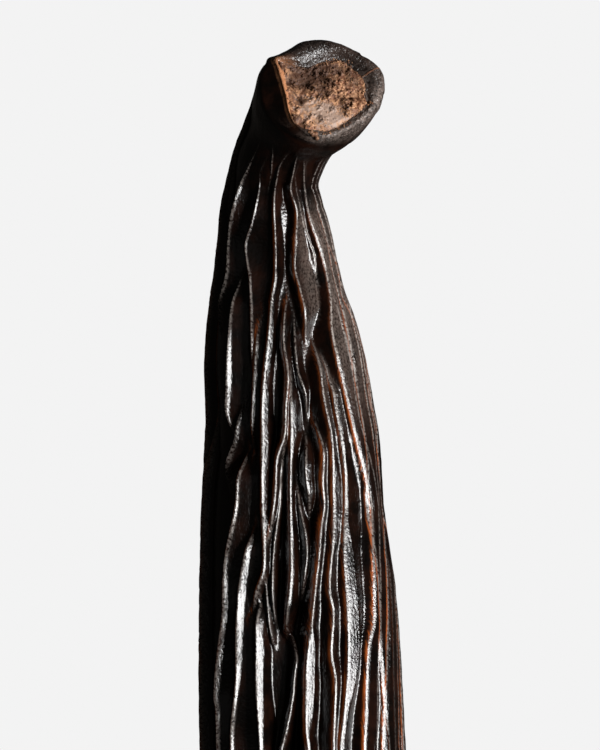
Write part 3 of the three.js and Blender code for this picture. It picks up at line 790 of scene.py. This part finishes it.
class Tree:  # builds nodes by type, settings and sockets
    def __init__(self, nodeTree):
        self.nodeTree = nodeTree

    def node(self, kind, settings=None, inputs=None, output=0):
        made = self.nodeTree.nodes.new(kind)
        for name, setting in (settings or {}).items():
            setattr(made, name, setting)
        for name, given in (inputs or {}).items():
            socket = made.inputs[name]
            if isinstance(given, Value):
                self.nodeTree.links.new(given.socket, socket)
            else:
                socket.default_value = given
        return Value(self, made.outputs[output])

    def attribute(self, name, output="Fac"):
        return self.node("ShaderNodeAttribute", {"attribute_name": name}, {}, output)

    def mixColor(self, factor, first, second):
        settings = {"data_type": "RGBA", "clamp_factor": True}
        return self.node("ShaderNodeMix", settings, {0: factor, 6: first, 7: second}, 2)

    def noise(self, vector, scale, detail, roughness, output=0):
        inputs = {"Vector": vector, "Scale": scale, "Detail": detail, "Roughness": roughness}
        return self.node("ShaderNodeTexNoise", {}, inputs, output)

    def cells(self, vector, scale, output):
        inputs = {"Vector": vector, "Scale": scale}
        return self.node("ShaderNodeTexVoronoi", {"feature": "F1"}, inputs, output)

    def remap(self, value, low, high):  # 0 at low, 1 at high, also where low is the larger
        inputs = {0: value, 1: low, 2: high}
        return self.node("ShaderNodeMapRange", {"interpolation_type": "SMOOTHSTEP"}, inputs)

    def vectors(self, operation, first, second=None, scale=None):
        inputs = {0: first}
        if second is not None:
            inputs[1] = second
        if scale is not None:
            inputs["Scale"] = scale
        return self.node("ShaderNodeVectorMath", {"operation": operation}, inputs)

    def bent(self, place, scale):  # strays a little, so that cells are uneven
        stray = self.vectors("SCALE", self.noise(place, scale, 2.0, 0.5, 1), scale=0.12)
        return self.vectors("ADD", place, stray)

    def named(self, name, dataType="FLOAT"):  # an attribute of a mesh, in a geometry tree
        return self.node("GeometryNodeInputNamedAttribute", {"data_type": dataType}, {"Name": name})

    def meshPlace(self):  # millimetres, in a geometry tree
        return self.vectors("SCALE", self.node("GeometryNodeInputPosition"), scale=1 / mm)

    def objectPlace(self):  # and in a material
        place = self.node("ShaderNodeTexCoord", {}, {}, "Object")
        return self.vectors("MULTIPLY", place, (1 / mm, 1 / mm, 1 / mm))


def grown(name, base, build, inputs, material):  # runs a tree of nodes on a base and keeps a plain mesh
    nodeTree = bpy.data.node_groups.new(name, "GeometryNodeTree")
    tree = Tree(nodeTree)
    kinds = {float: "NodeSocketFloat", int: "NodeSocketInt"}
    nodeTree.interface.new_socket("Base", in_out="INPUT", socket_type="NodeSocketGeometry")
    sockets = {label: nodeTree.interface.new_socket(label, in_out="INPUT", socket_type=kinds[type(value)])
               for label, value in inputs.items()}
    look = nodeTree.interface.new_socket("Material", in_out="INPUT", socket_type="NodeSocketMaterial")
    nodeTree.interface.new_socket("Result", in_out="OUTPUT", socket_type="NodeSocketGeometry")
    entry = nodeTree.nodes.new("NodeGroupInput")
    given = {socket.name: Value(tree, socket) for socket in entry.outputs if socket.name}
    built = build(tree, given)
    realized = tree.node("GeometryNodeRealizeInstances", {}, {"Geometry": built})
    finished = tree.node("GeometryNodeSetMaterial", {}, {"Geometry": realized, "Material": given["Material"]})
    leave = nodeTree.nodes.new("NodeGroupOutput")
    nodeTree.links.new(finished.socket, leave.inputs["Result"])
    modifier = base.modifiers.new(name, "NODES")
    modifier.node_group = nodeTree
    for label, socket in sockets.items():
        modifier[socket.identifier] = inputs[label]
    modifier[look.identifier] = material
    scene = bpy.context.evaluated_depsgraph_get()
    evaluated = base.evaluated_get(scene)
    mesh = bpy.data.meshes.new_from_object(evaluated, preserve_all_data_layers=True, depsgraph=scene)
    base.modifiers.remove(modifier)
    mesh.polygons.foreach_set("use_smooth", [True] * len(mesh.polygons))
    return mesh


def rgba(red, green, blue):
    return (red, green, blue, 1.0)


def newMaterial(name):
    material = bpy.data.materials.new(name)
    material.use_nodes = True
    material.node_tree.nodes.clear()
    return material, Tree(material.node_tree)


def finishMaterial(material, tree, shader):
    output = material.node_tree.nodes.new("ShaderNodeOutputMaterial")
    material.node_tree.links.new(shader.socket, output.inputs["Surface"])
    return material


skinLook = {
    "dark": rgba(0.0014, 0.0008, 0.0006),
    "brown": rgba(0.0085, 0.0027, 0.0014),
    "line": rgba(0.24, 0.21, 0.19),          # painted highlight along the crests
    # Painted orange-brown on left flanks, standing for light shining through thin crests
    "amber": rgba(0.38, 0.085, 0.014),
    "amberGlow": rgba(0.07, 0.016, 0.0025),   # painted glow: an emission that stands for light coming through a thin crest
    "cutEdge": rgba(0.34, 0.15, 0.072),
    # Grey painted sheen where folds and rim face the light
    "paintedSheen": rgba(0.2, 0.155, 0.132),
    "roughness": 0.18,
    "grainSize": 0.1,        # millimetres
    "wrinkleSize": 0.12,
    "streakWidth": 0.07,
    "streakLength": 1.3,
    "bump": {"grain": 0.016, "streaks": 0.004, "wrinkles": 0.02},   # millimetres
    "shine": 0.36,
}


def makeSkinMaterial():
    material, tree = newMaterial("podSkin")
    place = tree.objectPlace()
    flow = tree.attribute("flow", "Vector")
    fine, long = 1 / skinLook["streakWidth"], 1 / skinLook["streakLength"]
    streaks = tree.noise(tree.vectors("MULTIPLY", flow, (fine, fine, long)), 1.0, 3.0, 0.6)
    blotches = tree.noise(place, 0.9, 4.0, 0.6)
    grain = tree.noise(place, 1 / skinLook["grainSize"], 1.5, 0.5)
    fromMiddle = tree.noise(place, 1 / skinLook["wrinkleSize"], 1.0, 0.5) - 0.5
    wrinkles = tree.remap(tree.node("ShaderNodeMath", {"operation": "ABSOLUTE"}, {0: fromMiddle}), 0.0, 0.1)
    # Painted amber glow of light through thin crests, broken up by streaks and blotches
    amber = tree.attribute("amber") * tree.remap(streaks + 0.5 * blotches, 0.55, 0.95)
    color = tree.mixColor(tree.remap(blotches, 0.35, 0.7), skinLook["dark"], skinLook["brown"])
    # Painted sheen laid over the skin's colour
    paintedSheen = tree.attribute("paintedSheen") * tree.remap(grain + 0.5 * blotches + 0.9 * (streaks - 0.5), 0.35, 1.1)
    color = tree.mixColor(paintedSheen, color, skinLook["paintedSheen"])
    color = tree.mixColor(amber, color, skinLook["amber"])
    # Painted highlight along the crest lines
    color = tree.mixColor(tree.attribute("line") * tree.remap(grain, 0.3, 0.6), color, skinLook["line"])
    cutEdge = tree.attribute("cutEdge") * tree.remap(grain + 0.6 * blotches, 0.5, 0.8)
    color = tree.mixColor(cutEdge, color, skinLook["cutEdge"])
    shoulder = tree.attribute("shoulder")
    # Painted glow: the amber also shines as emission, standing for light through the crest
    glow = tree.mixColor(amber, rgba(0.0, 0.0, 0.0), skinLook["amberGlow"])
    roughness = skinLook["roughness"] + 0.18 * shoulder + 0.12 * (grain - 0.5) + 0.12 * (blotches - 0.5)
    smooth = 1 - 0.7 * tree.attribute("line")
    bump = skinLook["bump"]
    height = bump["grain"] * smooth * grain + bump["streaks"] * streaks
    height = height + bump["wrinkles"] * shoulder * wrinkles
    normal = tree.node("ShaderNodeBump", {}, {"Height": height, "Distance": mm, "Strength": 1.0})
    shader = tree.node("ShaderNodeBsdfPrincipled", {}, {
        "Base Color": color, "Roughness": roughness, "Normal": normal, "Emission Color": glow,
        "Specular IOR Level": skinLook["shine"], "Emission Strength": 1.0,
    })
    return finishMaterial(material, tree, shader)


reliefInputs = {
    "Streak Width": 0.13, "Streak Length": 1.6, "Streak Depth": 0.016,   # millimetres
    "Lump Size": 0.55, "Lump Depth": 0.05,
    "Wrinkle Size": 0.17, "Wrinkle Depth": 0.11, "Wrinkle Seed": 4.2,
}


def skinRelief(tree, given):  # fine streaks along the pod, lumps, and wrinkles on the shoulder
    place = tree.meshPlace()
    flow = tree.named("flow", "FLOAT_VECTOR")
    shoulder = tree.named("shoulder")
    across, along = 1 / given["Streak Width"], 1 / given["Streak Length"]
    stretch = tree.node("ShaderNodeCombineXYZ", {}, {"X": across, "Y": across, "Z": along})
    streaks = tree.noise(tree.vectors("MULTIPLY", flow, stretch), 1.0, 2.0, 0.5) - 0.5
    lumps = tree.noise(place, 1 / given["Lump Size"], 3.0, 0.5) - 0.5
    shifted = tree.vectors("ADD", place, given["Wrinkle Seed"])
    wrinkles = tree.noise(shifted, 1 / given["Wrinkle Size"], 2.0, 0.5) - 0.5
    relief = (1 - shoulder) * (given["Streak Depth"] * streaks + given["Lump Depth"] * lumps)
    relief = relief + shoulder * given["Wrinkle Depth"] * wrinkles
    offset = tree.vectors("SCALE", tree.node("GeometryNodeInputNormal"), scale=relief * mm)
    moved = tree.node("GeometryNodeSetPosition", {}, {"Geometry": given["Base"], "Offset": offset})
    floor = tree.vectors("MAXIMUM", tree.node("GeometryNodeInputPosition"), (-10.0, -10.0, 0.0))
    return tree.node("GeometryNodeSetPosition", {}, {"Geometry": moved, "Position": floor})


skin.data = grown("skinRelief", skin, skinRelief, reliefInputs, makeSkinMaterial())
print("skin finished", len(skin.data.vertices), "points")


# The dry pith inside the broken end, and its crumbs

pith = {
    "columns": 300,
    "rings": 58,
    "waxy": (0.15, 1.3, 1.2, 0.62),   # right, down, half width and half height of the pale smooth part
    "openSides": [(175, 48), (35, 40)],   # degrees round and reach, where it stands back from the skin
    "openGap": 0.06,
    "openDip": 0.12,
    "lap": 0.035,                     # how far it reaches under the skin, and stands out in the middle
    "floor": -0.4,
    "pits": [                         # right, down, radius, depth
        (-1.5, -0.3, 0.3, 0.16), (-1.1, -0.5, 0.34, 0.18), (-1.0, 0.15, 0.32, 0.16), (-0.6, -0.4, 0.34, 0.15),
        (0.1, -0.85, 0.36, 0.12), (-0.93, 1.12, 0.26, 0.12), (0.45, 0.3, 0.4, 0.1), (-1.6, 0.4, 0.24, 0.12),
        (-0.3, 0.05, 0.26, 0.1), (1.1, 0.0, 0.26, 0.1), (-0.2, 0.5, 0.2, 0.1), (-1.1, 0.1, 0.75, 0.13),
        (-0.45, -0.95, 0.3, 0.1), (0.75, 0.75, 0.22, 0.1),
    ],
    "pitShade": 6,                    # how much painted shade a pit gets for its depth
    "tan": rgba(0.38, 0.197, 0.102),
    "orange": rgba(0.13, 0.046, 0.018),
    "deep": rgba(0.038, 0.0145, 0.0065),
    "grey": rgba(0.295, 0.21, 0.165),     # of the waxy part
    "granule": 0.1,
    "roughness": 0.62,
    "shine": 0.35,
    "bump": 0.02,
}


def makePithBase():
    angle = np.arange(pith["columns"]) / pith["columns"] * 2 * math.pi - math.pi
    openSide = np.maximum(*[lobe(angle, place, 4) for place in pith["openSides"]])
    outer = pithRadius(angle) + pith["lap"] - pith["openGap"] * openSide
    # Radius, height and looseness of the rings below the surface
    rings = [(0.4 * outer, pith["floor"], 0.0), (0.9 * outer, pith["floor"], 0.0),
             (0.985 * outer, -0.36, 0.0), (outer, -0.24, 0.1), (outer, -0.14, 0.3)]
    shares = np.linspace(0.995, 0.02, pith["rings"])
    rows = [ringOf(onFace([[0.0]], [[0.0]], [[pith["floor"]]])[0], flowAt(1, 0.0), 0.0, 0.0, 0.0)]
    left, down, halfWide, halfHigh = pith["waxy"]
    for radius, height, loose in rings + [(outer * share, None, 1.0) for share in shares]:
        u, v = radius * np.sin(angle), radius * np.cos(angle)
        paintedPitShade = np.zeros(len(angle))
        if height is None:
            share = radius / outer
            height = pith["lap"] - pith["openDip"] * ramp(share, 0.86, 1.0) * openSide
            for pitRight, pitDown, pitRadius, pitDepth in pith["pits"]:
                pit = np.exp(-((u - pitRight) ** 2 + (v - pitDown) ** 2) / pitRadius ** 2)
                height = height - pitDepth * pit
                # Painted shade in the pits
                paintedPitShade = paintedPitShade + pith["pitShade"] * pitDepth * pit
        waxy = np.exp(-(((u - left) / halfWide) ** 2 + ((v - down) / halfHigh) ** 2))
        rows.append(ringOf(onFace(u, v, height + 0 * u), flowAt(len(angle), radius), loose, waxy, paintedPitShade))
    rows.append(ringOf(onFace([[0.0]], [[0.0]], [[0.03]])[0], flowAt(1, 0.0), 1.0, 0.0, 0.0))
    for row in rows:
        row[:, :3] += shift
    return closedMesh("pith", rows, ["loose", "waxy", "paintedPitShade"])


pithInputs = {
    "Crumb Size": 0.13, "Crumb Height": 0.06,
    "Pore Size": 0.34, "Pore Depth": 0.13, "Grain Size": 0.06, "Grain Height": 0.03,
}


def crumbledPith(tree, given):
    place = tree.meshPlace()
    loose = tree.named("loose") * (1 - 0.55 * tree.named("waxy"))
    cells = tree.cells(tree.bent(place, 5.0), 1 / given["Crumb Size"], "Distance")
    pores = tree.remap(tree.noise(place, 1 / given["Pore Size"], 4.0, 0.6), 0.48, 0.34)
    grain = tree.noise(place, 1 / given["Grain Size"], 2.0, 0.5) - 0.5
    height = given["Crumb Height"] * (0.55 - cells) - given["Pore Depth"] * pores
    height = height + given["Grain Height"] * grain
    # Low places, in pores and between crumbs, are marked here for painted shade
    toneAndPoreShade = tree.remap(height, -0.16, 0.07)
    offset = tree.vectors("SCALE", tree.node("GeometryNodeInputNormal"), scale=height * loose * mm)
    kept = tree.node("GeometryNodeStoreNamedAttribute", {"data_type": "FLOAT", "domain": "POINT"},
                     {"Geometry": given["Base"], "Name": "toneAndPoreShade", "Value": toneAndPoreShade})
    return tree.node("GeometryNodeSetPosition", {}, {"Geometry": kept, "Offset": offset})


def makePithMaterial():
    material, tree = newMaterial("pith")
    place = tree.objectPlace()
    blotches = tree.noise(place, 2.6, 4.0, 0.6)
    specks = tree.noise(place, 15.0, 3.0, 0.7)
    grain = tree.noise(place, 24.0, 2.0, 0.6)
    waxy = tree.attribute("waxy")
    toneAndPoreShade = tree.attribute("toneAndPoreShade")
    granule = tree.cells(tree.bent(place, 9.0), 1 / pith["granule"], "Color")
    ripe = tree.remap(granule + 0.7 * (blotches - 0.5), 0.36, 0.66)
    color = tree.mixColor(ripe, pith["tan"], pith["orange"])
    color = tree.mixColor(0.85 * tree.remap(waxy + 0.9 * (granule - 0.5), 0.3, 0.8), color, pith["grey"])
    shade = tree.remap(tree.noise(place, 1.1, 3.0, 0.6), 0.42, 0.62) * (1 - waxy)
    dark = tree.remap(specks + 0.3 * (granule - 0.5) - 0.12 * shade, 0.46, 0.3) * (1 - 0.5 * waxy)
    # The last two darkenings are painted shade: in the pits, and in low places on the pith; on crumbs the
    # last is a tone at random
    paintedPitShade = tree.remap(tree.attribute("paintedPitShade") + 0.8 * (blotches - 0.5) + 0.5 * (granule - 0.5), 0.2, 0.9)
    for share in (0.75 * dark, 0.45 * shade, 0.85 * paintedPitShade, 0.65 * tree.remap(toneAndPoreShade, 0.5, 0.1)):
        color = tree.mixColor(share, color, pith["deep"])
    height = pith["bump"] * grain
    normal = tree.node("ShaderNodeBump", {}, {"Height": height, "Distance": mm, "Strength": 1.0})
    shader = tree.node("ShaderNodeBsdfPrincipled", {}, {
        "Base Color": color, "Roughness": pith["roughness"] - 0.2 * waxy, "Normal": normal,
        "Specular IOR Level": pith["shine"],
    })
    return finishMaterial(material, tree, shader)


pithMaterial = makePithMaterial()
plug = makePithBase()
plug.data = grown("crumbledPith", plug, crumbledPith, pithInputs, pithMaterial)
print("pith made", len(plug.data.vertices), "points")

crumbInputs = {
    "Density": 3.0e7,   # crumbs for each square metre
    "Smallest": 0.02, "Largest": 0.05, "Unevenness": 0.5, "Seed": 5,
}


def scatteredCrumbs(tree, given):
    density = given["Density"] * tree.named("loose") * (1 - 0.7 * tree.named("waxy"))
    scattered = tree.nodeTree.nodes.new("GeometryNodeDistributePointsOnFaces")
    tree.nodeTree.links.new(given["Base"].socket, scattered.inputs["Mesh"])
    tree.nodeTree.links.new(density.socket, scattered.inputs["Density"])
    tree.nodeTree.links.new(given["Seed"].socket, scattered.inputs["Seed"])
    points = Value(tree, scattered.outputs["Points"])
    size = tree.node("FunctionNodeRandomValue", {"data_type": "FLOAT"},
                     {2: given["Smallest"] * mm, 3: given["Largest"] * mm, "Seed": 7}, 1)
    return crumbsOn(tree, given, points, size)


def crumbsOn(tree, given, points, size):  # an uneven grain on each point, turned at random
    turn = tree.node("FunctionNodeRandomValue", {"data_type": "FLOAT_VECTOR"},
                     {0: (0.0, 0.0, 0.0), 1: (6.3, 6.3, 6.3), "Seed": 9}, 0)
    ball = tree.node("GeometryNodeMeshIcoSphere", {}, {"Radius": 1.0, "Subdivisions": 2})
    inputs = {"Points": points, "Instance": ball, "Rotation": turn, "Scale": size}
    bits = tree.node("GeometryNodeInstanceOnPoints", {}, inputs)
    # Each crumb gets a tone at random
    toneAndPoreShade = tree.node("FunctionNodeRandomValue", {"data_type": "FLOAT"}, {2: 0.2, 3: 1.0, "Seed": 3}, 1)
    toned = tree.node("GeometryNodeStoreNamedAttribute", {"data_type": "FLOAT", "domain": "INSTANCE"},
                      {"Geometry": bits, "Name": "toneAndPoreShade", "Value": toneAndPoreShade})
    solid = tree.node("GeometryNodeRealizeInstances", {}, {"Geometry": toned})
    place = tree.meshPlace()
    wobble = tree.vectors("SUBTRACT", tree.noise(place, 14.0, 2.0, 0.5, 1), (0.5, 0.5, 0.5))
    offset = tree.vectors("SCALE", wobble, scale=given["Unevenness"] * given["Largest"] * mm * 3)
    return tree.node("GeometryNodeSetPosition", {}, {"Geometry": solid, "Offset": offset})


# Crumbs that lie on the dark shoulder, along short lines: right and down at both ends, count, size, spread
crumbLines = [
    {"start": (-0.3, 2.36), "end": (0.25, 2.42), "count": 16, "size": 0.075, "spread": 0.06},
    {"start": (0.39, 2.3), "end": (1.31, 1.26), "count": 30, "size": 0.026, "spread": 0.07},
    {"start": (1.07, -0.93), "end": (1.58, -1.5), "count": 50, "size": 0.026, "spread": 0.012},
    {"start": (1.2, 0.26), "end": (1.8, 0.14), "count": 26, "size": 0.036, "spread": 0.07},
    {"start": (-0.6, -1.0), "end": (0.4, -1.3), "count": 30, "size": 0.03, "spread": 0.16},
]


def crumbPoints():
    places, sizes = [], []
    for k, line in enumerate(crumbLines):
        start, end = np.array(line["start"]), np.array(line["end"])
        for i in range(line["count"]):
            seed = 40 * k + i
            stray = line["spread"] * (np.array([draw(seed + 0.1), draw(seed + 0.2)]) * 2 - 1)
            u, v = start + (end - start) * draw(seed + 0.5) + stray
            angle, radius = math.atan2(u, v), math.hypot(u, v)
            rim, core = float(rimRadius(angle)) - face["edgeRounding"], float(pithRadius(angle))
            share = np.clip((radius - rim) / (core - rim), 0.0, 1.0)
            places.append(onFace(u, v, shoulderHeight(angle, share) + 0.01) + shift)
            sizes.append(line["size"] * (0.6 + 0.8 * draw(seed + 0.7)))
    mesh = bpy.data.meshes.new("crumbPoints")
    mesh.from_pydata((np.array(places).reshape(-1, 3) * mm).tolist(), [], [])
    mesh.attributes.new("size", "FLOAT", "POINT").data.foreach_set("value", np.array(sizes, np.float32))
    return newPiece("crumbPoints", mesh)


def placedCrumbs(tree, given):
    return crumbsOn(tree, given, given["Base"], tree.named("size") * mm)


crumbs = newPiece("pithCrumbs", grown("scatteredCrumbs", plug, scatteredCrumbs, crumbInputs, pithMaterial))
lineBase = crumbPoints()
placed = {"Largest": 0.03, "Unevenness": 0.5}
edgeCrumbs = newPiece("edgeCrumbs", grown("placedCrumbs", lineBase, placedCrumbs, placed, pithMaterial))
bpy.data.objects.remove(lineBase)
print("crumbs made", len(crumbs.data.vertices) + len(edgeCrumbs.data.vertices), "points")


# Floor, world and lights

studio = {
    "backdrop": 0.8963,            # the flat pale grey of the table
    "keyRadiance": 38.0,
    "keySize": 0.26,
    "keyTilt": 48.0,               # degrees over to the right of straight up
    "keyTurn": -3.0,               # and a little towards the near end
    "topRadiance": 0.08,
    "topSize": 0.3,
    "topTilt": 4.0,
    "topTurn": 12.0,
    "distance": 0.55,
    "fill": rgba(1.0, 0.9, 0.8),   # the rest of the room, warm and weak
    "fillStrength": 0.03,
    "tableHalf": 3.0,
    "tableDrop": 0.00002,          # metres below the pod, so that the two don't share a face
}


def makeFloor():
    half, z = studio["tableHalf"], -studio["tableDrop"]
    mesh = bpy.data.meshes.new("floor")
    corners = [(-half, -half, z), (half, -half, z), (half, half, z), (-half, half, z)]
    mesh.from_pydata(corners, [], [(0, 1, 2, 3)])
    floor = newPiece("floor", mesh)
    material, tree = newMaterial("floor")
    level = studio["backdrop"]
    shader = tree.node("ShaderNodeEmission", {}, {"Color": rgba(level, level, level), "Strength": 1.0})
    mesh.materials.append(finishMaterial(material, tree, shader))
    floor.visible_glossy = False
    floor.visible_diffuse = False


def makeWorld():
    world = bpy.data.worlds.new("world")
    bpy.context.scene.world = world
    world.use_nodes = True
    world.node_tree.nodes.clear()
    tree = Tree(world.node_tree)
    level = studio["backdrop"]
    seen = tree.node("ShaderNodeBackground", {}, {"Color": rgba(level, level, level), "Strength": 1.0})
    fill = {"Color": studio["fill"], "Strength": studio["fillStrength"]}
    lit = tree.node("ShaderNodeBackground", {}, fill)
    cameraRay = tree.node("ShaderNodeLightPath", {}, {}, "Is Camera Ray")
    shader = tree.node("ShaderNodeMixShader", {}, {0: cameraRay, 1: lit, 2: seen})
    output = world.node_tree.nodes.new("ShaderNodeOutputWorld")
    world.node_tree.links.new(shader.socket, output.inputs["Surface"])


def makeSoftbox(name):  # a square light that looks down at the middle of the picture
    light = bpy.data.lights.new(name + "Light", "AREA")
    size = studio[name + "Size"]
    light.shape = "RECTANGLE"
    light.size, light.size_y = size, size
    light.energy = studio[name + "Radiance"] * math.pi * size * size
    box = newPiece(name + "Light", light)
    tiltAngle, turnAngle = math.radians(studio[name + "Tilt"]), math.radians(studio[name + "Turn"])
    direction = np.array([math.sin(tiltAngle) * math.cos(turnAngle), math.sin(turnAngle),
                          math.cos(tiltAngle) * math.cos(turnAngle)])
    target = bpy.context.scene.camera.location.copy()
    target.z = 0.003
    box.location = [target[i] + direction[i] * studio["distance"] for i in range(3)]
    box.rotation_mode = "QUATERNION"
    box.rotation_quaternion = (box.location - target).to_track_quat("Z", "Y")
    box.visible_camera = False


makeFloor()
makeWorld()
makeSoftbox("key")
makeSoftbox("top")
bpy.context.scene.view_settings.view_transform = "Standard"
print("studio lit")


# Everything rides on the pod's one body and stands for its solid

for piece, slot in ((skin, "pod_skin"), (plug, "pith"), (crumbs, "pith"), (edgeCrumbs, "pith")):
    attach(piece, "root")
    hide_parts("vanilla_pod")
